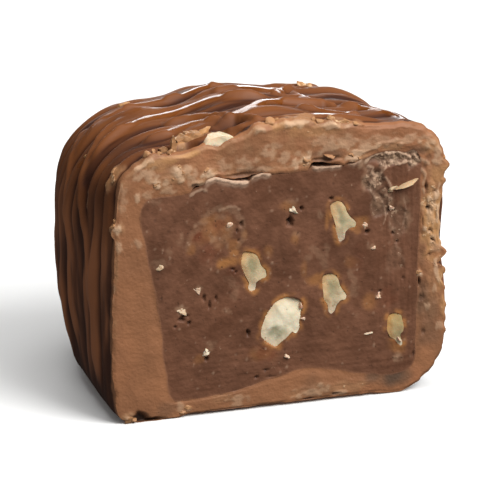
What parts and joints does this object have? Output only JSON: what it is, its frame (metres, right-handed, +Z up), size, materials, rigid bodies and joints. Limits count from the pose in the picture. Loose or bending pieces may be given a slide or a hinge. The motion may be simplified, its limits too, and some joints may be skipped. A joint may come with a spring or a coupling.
{
  "type": "chocolate truffle half",
  "caption": "Cut half of a hand-dipped milk chocolate truffle: fudge centre with chopped nuts, thick coating and drizzled chocolate strings.",
  "frame": {"origin": "middle of the flat base, under the middle of the bounding box", "axes": "+Z up; the cut face looks towards -Y, and +X is to its right as it is seen"},
  "size_m": [0.0336, 0.0244, 0.0271],
  "materials": {
    "coating": "glossy tempered milk chocolate outside, matte where it is cut",
    "fudge": "matte, dense, with knife marks",
    "nut": "matte cream, freshly cut"
  },
  "bodies": {
    "root": {"coating": "coating", "fudge_centre": "fudge", "nut_large": "nut", "nut_upper_right": "nut", "nut_left": "nut", "nut_middle_right": "nut", "nut_lower_right": "nut", "nut_rim": "nut"}
  },
  "joints": []
}
